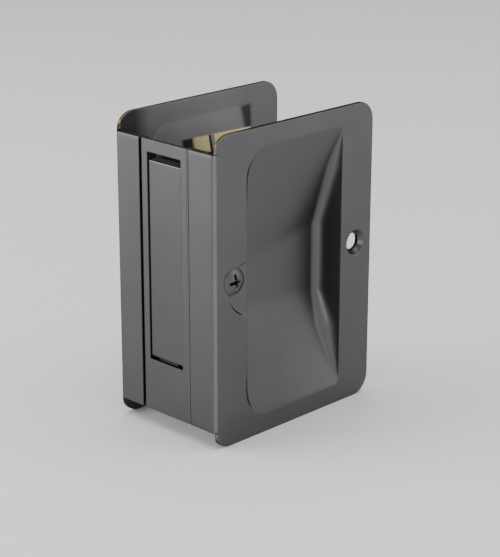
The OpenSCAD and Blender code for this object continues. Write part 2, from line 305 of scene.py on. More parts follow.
def level_part(x):
    """Depth of the level middle of the cup's floor, and half its height."""
    along = (x - cup_left) / (cup_foot - cup_left)
    half = (level_shallow_h + (level_deep_h - level_shallow_h) * along) / 2
    return cup_shallow + (cup_deep - cup_shallow) * along, half


def cup_floor(x, z):
    """Depth of the floor: a level middle, and a facet that rises from it to each end of the cup."""
    level, half = level_part(x)
    away = np.abs(z - plate_h / 2)
    facet = level * (plate_h / 2 - cup_end - away) / (plate_h / 2 - cup_end - half)
    near = np.clip(1 - np.abs(level - facet) / crease_soft, 0, 1)
    return np.minimum(level, facet) - near * near * crease_soft / 4


def pressed(x, z, thick):
    """Depth of the pressed sheet, of its face for no thickness and of its back for a thickness."""
    floor = rise(cup_floor(x, z), rim_soft)
    share = np.clip((x - cup_left) / (cup_right - cup_left), 0, 1)
    slope = left_slope + (right_slope - left_slope) * share
    shift = thick * (np.sqrt(1 + slope * slope) - 1) / slope
    wall = slope * rise(inside_outline(x, z) + shift, rim_round)
    low = np.clip((plate_h / 2 - level_deep_h / 2 - z) / low_foot_run, 0, 1)
    right_r = right_foot_r + (low_foot_r - right_foot_r) * low
    foot_r = left_foot_r + (right_r - left_foot_r) * share + thick
    cup = filleted(floor, wall, slope, foot_r)
    shift = thick * (math.sqrt(1 + notch_slope ** 2) - 1) / notch_slope
    wall = notch_slope * rise(inside_notch(x, z) + shift, rim_round)
    dish = np.clip(notch_fall * (notch_end - x), notch_least, notch_deep)
    return thick + np.maximum(cup, filleted(dish, wall, notch_slope, notch_foot_r + thick))


def plate_face(x, z):
    """Depth of the plate's face, with the sunk rims of both screw holes."""
    depth = pressed(x, z, 0.0)
    near = np.hypot(x - screw_x, z - screw_z)
    depth = np.minimum(depth, collar_slope * rise(near - sink_r - collar_w, collar_soft))
    for hole_x, off in ((screw_x, seat_off), (wood_screw_x, 0)):
        away = np.hypot(x - hole_x - off, z - screw_z + off)
        run = np.minimum(sink_r - away, sink_r - hole_r)
        depth = np.maximum(depth, rise(run, sink_soft) / cone_slope)
    return depth


def plate_back(x, z):
    """Depth of the plate's back, with a boss behind each screw hole."""
    depth = pressed(x, z, sheet_t)
    for hole_x in (screw_x, wood_screw_x):
        away = np.hypot(x - hole_x, z - screw_z)
        share = np.clip((sink_r - away) / boss_edge, 0, 1)
        depth = np.maximum(depth, sheet_t + (sink_depth + hole_wall - sheet_t) * share)
    return depth


# Outlines. A loop is a list of points, each with the direction that leads out of the sheet there.
def arc(cx, cy, r, start, end, steps):
    turn = np.radians(np.linspace(start, end, steps + 1))
    out = np.stack([np.cos(turn), np.sin(turn)], 1)
    return np.array([cx, cy]) + r * out, out


def line(a, b, out, step):
    """Points between two corners, without the corners."""
    a, b = np.array(a, float), np.array(b, float)
    count = max(2, int(round(np.linalg.norm(b - a) / step)) + 1)
    share = np.linspace(0, 1, count + 1)[1:-1, None]
    return a + (b - a) * share, np.tile(np.array(out, float), (count - 1, 1))


def joined(*parts):
    return np.concatenate([p[0] for p in parts]), np.concatenate([p[1] for p in parts])


def spot(x, y, out_x, out_y):
    return np.array([[x, y]]), np.array([[out_x, out_y]], float)


def hole_loop(cx, cy, r, steps=48):
    """A round hole: out of the sheet leads into the hole."""
    points, out = arc(cx, cy, r, 360, 0, steps)
    return points[:-1], -out[:-1]


def box_corners(x0, x1, z0, z1, radius):
    """The corners of a box, counter-clockwise, for corner_loop."""
    return [(x0, z0, radius), (x1, z0, radius), (x1, z1, radius), (x0, z1, radius)]


def round_corner(before, corner, after, radius):
    """One corner of a loop as an arc, or as a single point where it has no radius."""
    u = (corner - before) / np.linalg.norm(corner - before)
    v = (after - corner) / np.linalg.norm(after - corner)
    n0, n1 = np.array([u[1], -u[0]]), np.array([v[1], -v[0]])
    turn = math.atan2(u[0] * v[1] - u[1] * v[0], float(u @ v))
    if radius == 0:
        mitre = (n0 + n1) / (1 + float(n0 @ n1))
        return corner[None, :], mitre[None, :]
    radius = math.copysign(radius, turn)
    centre = corner - u * (abs(radius) * math.tan(abs(turn) / 2)) - n0 * radius
    steps = max(3, int(abs(turn) / arc_turn))
    angles = math.atan2(n0[1], n0[0]) + np.linspace(0, turn, steps + 1)
    out = np.stack([np.cos(angles), np.sin(angles)], 1)
    return centre + radius * out, out


def corner_loop(corners, step):
    """A closed loop through corners given as (x, y, radius), counter-clockwise round the sheet."""
    places = [np.array(corner[:2], float) for corner in corners]
    count = len(corners)
    parts = [round_corner(places[i - 1], places[i], places[(i + 1) % count], corners[i][2])
             for i in range(count)]
    full = []
    for i in range(count):
        end, start = parts[i][0][-1], parts[(i + 1) % count][0][0]
        full.append(parts[i])
        length = np.linalg.norm(start - end)
        if length > least_run:
            along = (start - end) / length
            out = np.array([along[1], -along[0]])
            first, last = end + guard_gap * along, start - guard_gap * along
            full += [spot(*first, *out), line(first, last, out, step), spot(*last, *out)]
    return joined(*full)


def inside(points, loop):
    """Which points lie inside a closed loop."""
    x, y = points[:, 0], points[:, 1]
    crossings = np.zeros(len(points), int)
    for (x0, y0), (x1, y1) in zip(loop, np.roll(loop, -1, axis=0)):
        if y0 != y1:
            over = (y0 > y) != (y1 > y)
            crossings += over & (x < (x1 - x0) * (y - y0) / (y1 - y0) + x0)
    return crossings % 2 == 1


def in_sheet(points, boundary, holes):
    """Which points lie inside the boundary and in none of the holes."""
    keep = inside(points, boundary)
    for hole in holes:
        keep &= ~inside(points, hole)
    return keep


def clearance(points, loops):
    """Distance from each point to the nearest point of any loop."""
    everything = np.concatenate(loops)
    best = np.full(len(points), 1e9)
    for k in range(0, len(everything), chunk):
        part = everything[k:k + chunk]
        away = np.hypot(points[:, None, 0] - part[None, :, 0], points[:, None, 1] - part[None, :, 1])
        best = np.minimum(best, away.min(1))
    return best


def scatter(low, high, wanted, finest, levels):
    """Grid points over a box, denser where the wanted spacing is small."""
    parts = []
    for level in range(levels):
        step = finest * 2 ** level
        nx = np.arange(math.floor(low[0] / step), math.ceil(high[0] / step) + 1)
        ny = np.arange(math.floor(low[1] / step), math.ceil(high[1] / step) + 1)
        gx, gy = np.meshgrid(nx, ny, indexing="ij")
        points = np.stack([gx.ravel() * step, gy.ravel() * step], 1)
        need = wanted(points[:, 0], points[:, 1])
        keep = need < 2 * step if level == 0 else (need >= step)
        if level and level < levels - 1:
            keep &= need < 2 * step
        parts.append(points[keep])
    every = np.concatenate(parts)
    return every[np.unique(np.round(every / finest * 4).astype(np.int64), axis=0, return_index=True)[1]]


def triangulate(boundary, holes, points):
    """Triangles over a boundary loop with holes. The boundary's points come first, then the holes'."""
    loops = [boundary] + holes
    every = np.concatenate(loops + [points])
    edges, start = [], 0
    for loop in loops:
        edges += [(start + i, start + (i + 1) % len(loop)) for i in range(len(loop))]
        start += len(loop)
    outline = [list(range(len(boundary)))]
    result = delaunay_2d_cdt([Vector(p / mm) for p in every], edges, outline, 1, 1e-7)
    faces, origin = result[2], result[3]
    back = [sources[0] if sources else None for sources in origin]
    faces = np.array([[back[i] for i in f] for f in faces], int)
    return every, faces[in_sheet(every[faces].mean(1), boundary, holes)]


def bridged(a, b):
    """Faces between two closed rows of points."""
    count = len(a)
    return [(a[i], b[i], b[(i + 1) % count], a[(i + 1) % count]) for i in range(count)]


def rim_stops(thick, out_r, in_r):
    """Where a rim's rows of points lie: how far inside the outline, and at what share of the sheet."""
    stops = [(out_r * (1 - math.sin(a)), out_r * (1 - math.cos(a)) / thick)
             for a in np.radians([30, 60, 90])]
    if thick > thick_sheet:
        stops += [(0, (out_r + guard_gap) / thick), (0, 1 - (in_r + guard_gap) / thick)]
    stops += [(in_r * (1 - math.sin(a)), 1 - in_r * (1 - math.cos(a)) / thick)
              for a in np.radians([90, 45])]
    return stops


def hole_rims(first, holes):
    """The rims of holes: the numbers of their points, which count from first, the loop and its out."""
    rims = []
    for hole in holes:
        rims.append((list(range(first, first + len(hole[0]))), hole[0], hole[1]))
        first += len(hole[0])
    return rims


def new_object(name, data):
    """A new object in the scene."""
    obj = bpy.data.objects.new(name, data)
    bpy.context.scene.collection.objects.link(obj)
    return obj


class Sheets:
    """Gathers closed sheets into one mesh object."""

    def __init__(self):
        self.points, self.faces, self.sides = [], [], []

    def add(self, points, faces, sheet=0):
        """Adds a closed mesh. sheet says how many faces make its outside, and as many its inside."""
        start = sum(len(p) for p in self.points)
        self.points.append(points)
        self.sides += [min(i // sheet, 2) if sheet else 0 for i in range(len(faces))]
        self.faces += [tuple(int(i) + start for i in f) for f in faces]

    def solid(self, flat, faces, rims, place, thick, out_r, in_r):
        """Adds a closed sheet. flat holds its points in the flat, place bends them into space."""
        outer, inner = flat.copy(), flat.copy()
        for k, (index, points, out) in enumerate(rims):
            outer[index] = points - out * out_r[k]
            inner[index] = points - out * in_r[k]
        count = len(flat)
        solid = [place(outer[:, 0], outer[:, 1], np.zeros(count)),
                 place(inner[:, 0], inner[:, 1], np.ones(count))]
        quads = [tuple(f) for f in faces] + [tuple(count + i for i in reversed(f)) for f in faces]
        start = 2 * count
        for k, (index, points, out) in enumerate(rims):
            rows = [np.array(index)]
            for inset, share in rim_stops(thick, out_r[k], in_r[k]):
                ring = points - out * inset
                solid.append(place(ring[:, 0], ring[:, 1], np.full(len(ring), share)))
                rows.append(np.arange(start, start + len(ring)))
                start += len(ring)
            rows.append(np.array(index) + count)
            for a, b in zip(rows, rows[1:]):
                quads += bridged(a, b)
        self.add(np.concatenate(solid), quads, len(faces))

    def build(self, name, mirror_y=False):
        """Makes the object. mirror_y turns the front's shape into the back's."""
        points = np.concatenate(self.points)
        if mirror_y:
            points = points * np.array([1, -1, 1])
        mesh = bpy.data.meshes.new(name)
        mesh.from_pydata([tuple(p) for p in points], [], self.faces)
        obj = new_object(name, mesh)
        for face, side in zip(mesh.polygons, self.sides):
            face.material_index = side
        return finished(obj)


def finished(obj):
    """Turns the faces outwards and shades them smooth."""
    shape = bmesh.new()
    shape.from_mesh(obj.data)
    bmesh.ops.recalc_face_normals(shape, faces=shape.faces)
    shape.to_mesh(obj.data)
    shape.free()
    for face in obj.data.polygons:
        face.use_smooth = True
    return obj


# Cup plates
def fold_place(u, z, share):
    """Bends the flat plate: past the fold's start the sheet turns into the flange."""
    run = np.maximum(fold_r - u, 0)
    turn = np.minimum(run / fold_r, math.pi / 2)
    past = np.maximum(run - fold_r * math.pi / 2, 0)
    folded = u < fold_r
    face = plate_face(np.maximum(u, fold_r), z)
    back = plate_back(np.maximum(u, fold_r), z)
    x = np.where(folded, fold_r - fold_r * np.sin(turn), u)
    depth = np.where(folded, fold_r - fold_r * np.cos(turn) + past, face)
    x = x + np.where(folded, share * sheet_t * np.sin(turn), 0)
    depth = depth + share * np.where(folded, sheet_t * np.cos(turn), back - face)
    return np.stack([edge_x + x, front_y + depth, z], 1)


def plate_loop():
    """The plate's free edge round its face, from one end of the fold to the other."""
    z0, z1 = flange_z0, flange_z1
    far, top = plate_w - corner_r, plate_h - corner_r
    low, high = corner_r - z0, z1 - plate_h + corner_r
    low_x, high_x = (corner_r - math.sqrt(corner_r ** 2 - up ** 2) for up in (low, high))
    low_a, high_a = (math.degrees(math.asin(up / corner_r)) for up in (low, high))
    top_arc = arc(corner_r, top, corner_r, 180 - high_a, 90, corner_steps)
    low_arc = arc(corner_r, corner_r, corner_r, 270, 180 + low_a, corner_steps)
    return joined(
        spot(fold_r, z1, -1, 0), spot(fold_r, z1, 0, -1),
        line((fold_r, z1), (high_x, z1), (0, -1), flange_foot_step),
        spot(high_x, z1, -1, -1), (top_arc[0][1:], top_arc[1][1:]),
        line((corner_r, plate_h), (far, plate_h), (0, 1), long_step),
        arc(far, top, corner_r, 90, 0, corner_steps),
        line((plate_w, top), (plate_w, corner_r), (1, 0), long_step),
        arc(far, corner_r, corner_r, 0, -90, corner_steps),
        line((far, 0), (corner_r, 0), (0, -1), long_step),
        (low_arc[0][:-1], low_arc[1][:-1]), spot(low_x, z0, -1, 1),
        line((low_x, z0), (fold_r, z0), (0, 1), flange_foot_step),
        spot(fold_r, z0, 0, 1), spot(fold_r, z0, -1, 0))


def spread(away, least, near, growth):
    """A spacing of points: the least as far as near, and growing with the distance beyond it."""
    return least + growth * np.maximum(away - near, 0)


def plate_spacing(x, z):
    """How close the plate's mesh points need to be."""
    rim = np.minimum(np.abs(inside_outline(x, z)), np.abs(inside_notch(x, z)))
    rim = np.where((x < cup_left + 6 * mm) | (x > cup_right - 6 * mm) | (rim < 2 * mm), rim, 2 * mm)
    from_crease = np.abs(np.abs(z - plate_h / 2) - level_part(x)[1])
    need = spread(rim, fine, 0.9 * mm, 0.4)
    crease = spread(from_crease, 2 * fine, 2 * mm, 0.4)
    foot = spread(np.abs(x - cup_foot), 0.3 * mm, 2.2 * mm, 0.3)
    in_cup = inside_outline(x, z) > 0
    need = np.where(in_cup, np.minimum(need, np.minimum(crease, foot)), need)
    for hole_x in (screw_x, wood_screw_x):
        hole = np.hypot(x - hole_x, z - screw_z)
        need = np.minimum(need, spread(hole, fine, 4.2 * mm, 0.5))
    return need


def plate_points(boundary, guards, rings):
    """The points inside the plate's outline, in columns beside the rim of the cup's steep wall."""
    points = scatter((0, 0), (plate_w, plate_h), plate_spacing, fine, 4)
    rim_z = np.arange(cup_end + wall_corner_r, plate_h - cup_end - wall_corner_r, rim_step)
    rim_x = cup_right + rim_columns
    beside_rim = np.abs(points[:, 0] - cup_right) < rim_clear_x
    beside_rim &= points[:, 1] > rim_z[0] - rim_clear_z
    beside_rim &= points[:, 1] < rim_z[-1] + rim_clear_z
    columns = np.stack(np.meshgrid(rim_x, rim_z, indexing="ij"), -1).reshape(-1, 2)
    points = np.concatenate([points[~beside_rim], columns])
    points = points[in_sheet(points, boundary, rings)]
    points = points[clearance(points, [boundary, guards] + rings) > guard_gap]
    return np.concatenate([points, guards])


def flange_grid(heights, first):
    """The fold and the flange, a plain grid beside the plate's column. Its points count from first.

    Gives its points, its faces, and its free edge as numbers of points, places and ways out.
    """
    across = line((fold_r, 0), (flange_end, 0), (0, -1), fold_step)[0][:, 0]
    row = np.append(across, flange_end + edge_round)
    last, top = len(row), len(heights) - 1
    points = np.array([(u, z) for z in heights for u in row])
    grid = [[j] + [first + j * last + i for i in range(last)] for j in range(top + 1)]
    faces = [(grid[j][i], grid[j + 1][i], grid[j + 1][i + 1], grid[j][i + 1])
             for i in range(last) for j in range(top)]
    index = grid[0] + [grid[j][last] for j in range(1, top)] + grid[top][::-1]
    rim_u = np.concatenate([[fold_r], across, [flange_end]])
    rim = [(u, flange_z0) for u in rim_u] + [(flange_end, z) for z in heights[1:top]]
    rim += [(u, flange_z1) for u in rim_u[::-1]]
    out = [(0, -1)] * last + [(-1, -1)] + [(-1, 0)] * (top - 1) + [(-1, 1)] + [(0, 1)] * last
    return points, faces, index, np.array(rim), np.array(out, float)


def cup_plate():
    """One cup plate as a closed sheet, at the front."""
    rim, out = plate_loop()
    heights = np.linspace(flange_z0 + edge_round, flange_z1 - edge_round, fold_rows)
    column = np.stack([np.full(fold_rows, fold_r), heights], 1)
    boundary = np.concatenate([column, rim - out * edge_round])
    holes = [hole_loop(hole_x, screw_z, hole_r) for hole_x in (screw_x, wood_screw_x)]
    rings = [hole[0] - hole[1] * hole_round for hole in holes]
    guards = (rim - out * (edge_round + plate_guard_gap))[3:-3]
    flat, faces = triangulate(boundary, rings, plate_points(boundary, guards, rings))
    grid, grid_faces, index, flange_rim, flange_out = flange_grid(heights, len(flat))
    index += range(fold_rows, len(boundary))
    rims = [(index, np.concatenate([flange_rim, rim]), np.concatenate([flange_out, out]))]
    rims += hole_rims(len(boundary), holes)
    sheets = Sheets()
    sheets.solid(np.concatenate([flat, grid]), list(map(tuple, faces)) + grid_faces, rims,
                 fold_place, sheet_t,
                 (edge_round, hole_round, hole_round), (back_round, hole_round, hole_round))
    return sheets


front = cup_plate().build("front_cup_plate")
back = cup_plate().build("back_cup_plate", mirror_y=True)


def flat_sheet(rim, out, holes, inner, edge, place, thick, sheets):
    """Adds a closed sheet, from its outline, its holes as loops, and points to bend it at.

    edge is how round its edge is, and each hole brings its own as its third part.
    """
    boundary = rim - out * edge
    rings = [hole[0] - hole[1] * hole[2] for hole in holes]
    # A second row of points keeps the flat part flat up to its rounded edge
    guards = [rim - out * (edge + guard_gap)]
    guards += [hole[0] - hole[1] * (hole[2] + guard_gap) for hole in holes]
    points = np.concatenate(guards + inner)
    points = points[in_sheet(points, boundary, rings)]
    points = points[clearance(points, [boundary] + rings) > near_gap]
    flat, faces = triangulate(boundary, rings, points)
    rims = [(list(range(len(rim))), rim, out)] + hole_rims(len(rim), holes)
    rounds = (edge,) + tuple(hole[2] for hole in holes)
    sheets.solid(flat, list(map(tuple, faces)), rims, place, thick, rounds, rounds)


# Edge frame
def turned(cx, cy, r, start, end, steps):
    """Points (x, y) of an arc, from one angle to another."""
    angles = np.radians(np.linspace(start, end, steps + 1))
    return [(cx + r * math.cos(a), cy + r * math.sin(a)) for a in angles]


def frame_profile():
    """Half of the frame's section, as matching points of its outside and its inside."""
    outer = [(0, y) for y in panel_points]
    inner = [(sheet_t, y) for y in panel_points]
    web, in_r = panel_half - sheet_t, joggle_r
    wing_back = wing_x + sheet_t
    outer += turned(panel_r, panel_half - panel_r, panel_r, 180, 90, panel_steps)
    inner += turned(sheet_t + in_r, web - in_r, in_r, 180, 90, panel_steps)
    outer += turned(wing_x - in_r, panel_half + in_r, in_r, 270, 360, joggle_steps)
    inner += turned(wing_back - in_r, web + in_r, in_r, 270, 360, joggle_steps)
    turn_y = frame_half - bend_r
    for share in wing_shares:
        outer.append((wing_x, panel_half + in_r + share * (turn_y - panel_half - in_r)))
        inner.append((wing_back, web + in_r + share * (turn_y - web - in_r)))
    outer += turned(wing_x + bend_r, turn_y, bend_r, 180, 90, bend_steps)
    inner += turned(wing_x + bend_r, turn_y, bend_r - sheet_t, 180, 90, bend_steps)
    for x in cheek_points:
        outer.append((x, frame_half))
        inner.append((x, frame_half - sheet_t))
    return np.array(outer), np.array(inner)


frame_outer, frame_inner = frame_profile()
frame_u = np.concatenate([[0], np.cumsum(np.linalg.norm(np.diff(frame_outer, axis=0), axis=1))])


def cheek_u(x):
    """Unrolled place of a point on the cheek, from its distance behind the door's edge."""
    return frame_u[-1] - (cheek_end - x)


def frame_place(u, z, share):
    """Bends the unrolled frame into its section."""
    side, u = np.sign(u), np.abs(u)
    x, y = ((1 - share) * np.interp(u, frame_u, frame_outer[:, axis])
            + share * np.interp(u, frame_u, frame_inner[:, axis]) for axis in (0, 1))
    return np.stack([edge_x + x, frame_y + side * y, z], 1)


def with_columns(loop, columns):
    """Adds points where a loop's level runs cross the columns."""
    points, out = loop
    parts = []
    for i in range(len(points)):
        a, b = points[i], points[(i + 1) % len(points)]
        parts.append((points[i:i + 1], out[i:i + 1]))
        if abs(a[1] - b[1]) < tiny:
            low, high = min(a[0], b[0]) + column_gap, max(a[0], b[0]) - column_gap
            between = sorted((u for u in columns if low < u < high), reverse=bool(b[0] < a[0]))
            parts += [spot(u, a[1], 0, math.copysign(1, a[0] - b[0])) for u in between]
    return joined(*parts)


def edge_frame():
    """The frame as one folded sheet, with the window and the cheeks' holes."""
    end, step_u = frame_u[-1], cheek_u(cheek_step_x)
    z0, z1 = flange_z0, flange_z1
    half = [(step_u, z0, cheek_step_r), (step_u, z0 + cheek_low_cut, cheek_root_r),
            (end, z0 + cheek_low_end, cheek_corner_r), (end, z1 - cheek_high_end, cheek_corner_r),
            (step_u, z1 - cheek_high_cut, cheek_root_r), (step_u, z1, cheek_step_r)]
    corners = half + [(-u, z, r) for u, z, r in reversed(half)]
    columns = np.unique(np.concatenate([-frame_u, frame_u]))
    rim, out = with_columns(corner_loop(corners, long_step), columns)
    window = corner_loop(box_corners(-window_half, window_half, window_z0, window_z1, window_r),
                         long_step)
    holes = [(window[0][::-1], -window[1][::-1], edge_round)]
    for x, z, r in ((screw_x, screw_z, cross_bar_hole_r), (stop_x, stop_z, stop_hole_r),
                    (pin_x, pin_z, pin_hole_r), (bar_x, bar_z, spring_bar_hole_r)):
        for side in (-1, 1):
            holes.append((*hole_loop(side * cheek_u(x), z, r), hole_round))
    rows = np.linspace(z0 + frame_row_inset, z1 - frame_row_inset, frame_rows)
    grid = np.stack(np.meshgrid(columns, rows, indexing="ij"), -1).reshape(-1, 2)
    sheets = Sheets()
    flat_sheet(rim, out, holes, [grid], edge_round, frame_place, sheet_t, sheets)
    return sheets


frame_piece = edge_frame().build("edge_frame_sheet")


# Edge pull
def edge_pull():
    """The pull: its side view as thick as the pull is wide, and the pad that meets the stop pin."""
    face = pull_low.x - edge_x
    z0, z1, width = pull_low.z, pull_high.z, pull_high.y - pull_low.y
    back_x, lip_x = face + pull_t, face + pull_t + lip_depth
    top_turn = 180 - math.degrees(math.acos((pin_x - back_x) / knuckle_r))
    corners = [(face, z0, pull_round)]
    knuckle = turned(pin_x, pin_z, knuckle_r, -90, top_turn, knuckle_steps)
    corners += [(x, z, 0) for x, z in knuckle]
    corners += [(back_x, z1 - pull_t, pull_round), (lip_x, z1 - pull_t, pull_round),
                (lip_x, z1, pull_round), (face, z1, pull_round)]
    pad = box_corners(face + pull_t / 2, pad_x, stop_z - pad_h / 2, stop_z + pad_h / 2, pad_corner_r)
    pin_hole = (*hole_loop(pin_x, pin_z, pin_hole_r), hole_round)

    def place(x, z, share):
        return np.stack([edge_x + x, pull_low.y + share * width, z], 1)

    def pad_place(x, z, share):
        return np.stack([edge_x + x, frame_y + (share - 0.5) * width / 2, z], 1)

    sheets = Sheets()
    flat_sheet(*corner_loop(corners, long_step), [pin_hole], [], pull_side_round, place, width, sheets)
    flat_sheet(*corner_loop(pad, pad_step), [], [], pad_round, pad_place, width / 2, sheets)
    return sheets


pull_piece = edge_pull().build("edge_pull_body")


# Plate screws
def head_height(x, z):
    """Height of the domed head over its rim, with the cross sunk into it. The cross has sloping walls."""
    away = np.hypot(x, z)
    ball = (head_r ** 2 + dome_h ** 2) / (2 * dome_h)
    dome = np.sqrt(np.maximum(ball ** 2 - away ** 2, 0)) - ball + dome_h
    u = np.abs(x * math.cos(cross_turn) + z * math.sin(cross_turn))
    v = np.abs(z * math.cos(cross_turn) - x * math.sin(cross_turn))
    sunk = 0
    for a, b in ((u, v), (v, u)):
        side = rise((cross_half_w - a) * cross_side_slope + cross_side_run, cross_side_soft)
        end = rise((cross_half_l - b) * cross_end_slope + cross_end_run, cross_end_soft)
        sunk = np.maximum(sunk, np.minimum(np.minimum(side, end), cross_deep))
    return dome - sunk


def screw_head(ring):
    """The head's top as a fine height field on a disc. The points of its rim come first."""
    rim_r = head_r - head_rim
    points = scatter((-head_r, -head_r), (head_r, head_r), lambda x, z: head_step + 0 * x, head_step, 1)
    points = points[np.hypot(points[:, 0], points[:, 1]) < rim_r - near_gap]
    flat, faces = triangulate(ring * rim_r, [], points)
    return np.stack([flat[:, 0], -head_height(flat[:, 0], flat[:, 1]), flat[:, 1]], 1), faces


def screw_sections(turn, tip):
    """Radius and depth of each ring down the screw: its head's rim, its cone and its thread."""
    core = thread_r - thread_deep
    cone_end = (head_r - thread_r) / cone_slope
    rim_depth = head_height(np.array([head_r - head_rim]), np.array([0.0]))[0]
    sections = [(head_r - head_edge, -head_edge_share * rim_depth), (head_r, head_edge),
                (head_r - head_rim / 2, head_rim)]
    for share in (0.25, 0.5, 0.75, 1.0):
        sections.append((head_r - share * (head_r - core), head_rim + share * (cone_end - head_rim)))
    for depth in np.arange(cone_end + near_gap, tip - tip_gap, thread_pitch / thread_rows):
        phase = (depth / thread_pitch - turn / (2 * math.pi)) % 1
        crest = np.clip(crest_slope / 2 - np.abs(phase - 0.5) * crest_slope, 0, 1)
        fade = np.clip(min((depth - cone_end) / thread_run_in, (tip - depth) / thread_run_out), 0, 1)
        taper = tip_taper * np.clip(1 - (tip - depth) / tip_length, 0, 1)
        sections.append((core + thread_deep * crest * fade - taper, depth))
    return sections


def plate_screw():
    """A plate screw as one closed mesh, at the front."""
    turn = np.linspace(0, 2 * math.pi, screw_columns, endpoint=False)
    ring = np.stack([np.cos(turn), np.sin(turn)], 1)
    tip = screw_high.y - front_y
    head, faces = screw_head(ring)
    solid, quads = [head], [tuple(f) for f in faces]
    last, start = np.arange(screw_columns), len(head)
    for radius, depth in screw_sections(turn, tip):
        level = np.full(screw_columns, depth)
        solid.append(np.stack([ring[:, 0] * radius, level, ring[:, 1] * radius], 1))
        row = np.arange(start, start + screw_columns)
        quads += bridged(last, row)
        last, start = row, start + screw_columns
    solid.append(np.array([[0, tip, 0]]))
    quads += [(last[i], start, last[(i + 1) % screw_columns]) for i in range(screw_columns)]
    sheets = Sheets()
    sheets.add(np.concatenate(solid) + np.array([edge_x + screw_x, front_y, screw_z]), quads)
    return sheets


front_screw = plate_screw().build("front_screw_body")
back_screw = plate_screw().build("back_screw_body", mirror_y=True)


# Materials
def new_material(name, metallic):
    material = bpy.data.materials.new(name)
    material.use_nodes = True
    tree = material.node_tree
    shader = tree.nodes["Principled BSDF"]
    shader.inputs["Metallic"].default_value = metallic
    return material, tree, shader


def noise(tree, scale, detail, stretch=(1, 1, 1)):
    """Noise over the piece's own place in the frame, scale in turns a metre."""
    place = tree.nodes.new("ShaderNodeTexCoord")
    mapping = tree.nodes.new("ShaderNodeMapping")
    mapping.inputs["Scale"].default_value = [scale * s for s in stretch]
    texture = tree.nodes.new("ShaderNodeTexNoise")
    texture.inputs["Scale"].default_value = 1.0
    texture.inputs["Detail"].default_value = detail
    tree.links.new(place.outputs["Object"], mapping.inputs["Vector"])
    tree.links.new(mapping.outputs["Vector"], texture.inputs["Vector"])
    return texture.outputs["Fac"]


def ramp(tree, value, start, stop, low=0.0, high=1.0):
    """Low at start and before it, high at stop and past it, and even between them."""
    node = tree.nodes.new("ShaderNodeMapRange")
    node.inputs["From Min"].default_value = start
    node.inputs["From Max"].default_value = stop
    node.inputs["To Min"].default_value = low
    node.inputs["To Max"].default_value = high
    tree.links.new(value, node.inputs["Value"])
    return node.outputs["Result"]


def toothed(tree, shader, height, depth):
    """A fine tooth on the surface, depth high."""
    bump = tree.nodes.new("ShaderNodeBump")
    bump.inputs["Strength"].default_value = 0.5
    bump.inputs["Distance"].default_value = depth
    tree.links.new(height, bump.inputs["Height"])
    tree.links.new(bump.outputs["Normal"], shader.inputs["Normal"])


def roughened(tree, shader, low, high):
    """A roughness that wanders between two."""
    tree.links.new(ramp(tree, noise(tree, 350, 4), 0, 1, low, high), shader.inputs["Roughness"])


def toned(tree, low, high, scale=60, detail=3):
    """A colour that wanders between two, scale turns a metre."""
    node = tree.nodes.new("ShaderNodeValToRGB")
    for end, colour, position in zip(node.color_ramp.elements, (low, high), (0.3, 0.7)):
        end.color = (*colour, 1)
        end.position = position
    tree.links.new(noise(tree, scale, detail), node.inputs["Fac"])
    return node.outputs["Color"]


def axes(tree, kind="Object"):
    """X, Y and Z of a point's own place in the frame, or of the way that it faces for Normal."""
    place = tree.nodes.new("ShaderNodeTexCoord")
    parts = tree.nodes.new("ShaderNodeSeparateXYZ")
    tree.links.new(place.outputs[kind], parts.inputs["Vector"])
    return parts.outputs


def combined(tree, operation, first, second):
    """Two values added or multiplied, kept from 0 to 1."""
    node = tree.nodes.new("ShaderNodeMath")
    node.operation = operation
    node.use_clamp = True
    tree.links.new(first, node.inputs[0])
    tree.links.new(second, node.inputs[1])
    return node.outputs["Value"]


def band(tree, value, low, high, soft):
    """One between two places along an axis, zero outside them, with soft ends."""
    rising, falling = ramp(tree, value, low, low + soft), ramp(tree, value, high, high - soft)
    return combined(tree, "MULTIPLY", rising, falling)


def mixed(tree, factor, first, second):
    """The first colour for a factor of 0, the second for 1."""
    node = tree.nodes.new("ShaderNodeMix")
    node.data_type = "RGBA"
    tree.links.new(factor, node.inputs["Factor"])
    tree.links.new(first, node.inputs["A"])
    tree.links.new(second, node.inputs["B"])
    return node.outputs["Result"]


def painted_bend_highlight(tree, colour, tone):
    """A painted highlight in a tone on the bends at the door's edge."""
    bend = band(tree, axes(tree)["X"], edge_x + highlight_start, edge_x + fold_r, highlight_soft)
    return mixed(tree, bend, colour, toned(tree, tone, tuple(1.1 * c for c in tone)))


def painted_shade_steep_side(tree, colour):
    """Painted shade on the steep side of the finger cup, found by its place and by its facing the door's
    edge.
    """
    across, facing = axes(tree)["X"], axes(tree, "Normal")["X"]
    in_cup = band(tree, across, edge_x + steep_from_x, edge_x + steep_to_x, steep_soft)
    steep = combined(tree, "MULTIPLY", ramp(tree, facing, -0.7, -0.9), in_cup)
    return mixed(tree, steep, colour, toned(tree, (0.04, 0.04, 0.042), (0.05, 0.05, 0.052)))


def painted_shade_corners(tree, colour):
    """Painted shade near the ends of the cup's other side, found by their places and by their facing into
    the cup.
    """
    parts, facing = axes(tree), axes(tree, "Normal")["X"]
    at_side = band(tree, parts["X"], edge_x + side_from_x, edge_x + side_to_x, side_soft)
    upper = band(tree, parts["Z"], corner_shade_low, corner_shade_high, corner_shade_soft)
    lower = band(tree, parts["Z"], plate_h - corner_shade_high, plate_h - corner_shade_low,
                 corner_shade_soft)
    at_end = combined(tree, "MULTIPLY", at_side, combined(tree, "ADD", upper, lower))
    shade = combined(tree, "MULTIPLY", ramp(tree, facing, 0.04, 0.14), at_end)
    return mixed(tree, shade, colour, toned(tree, (0.012, 0.012, 0.013), (0.018, 0.018, 0.02)))


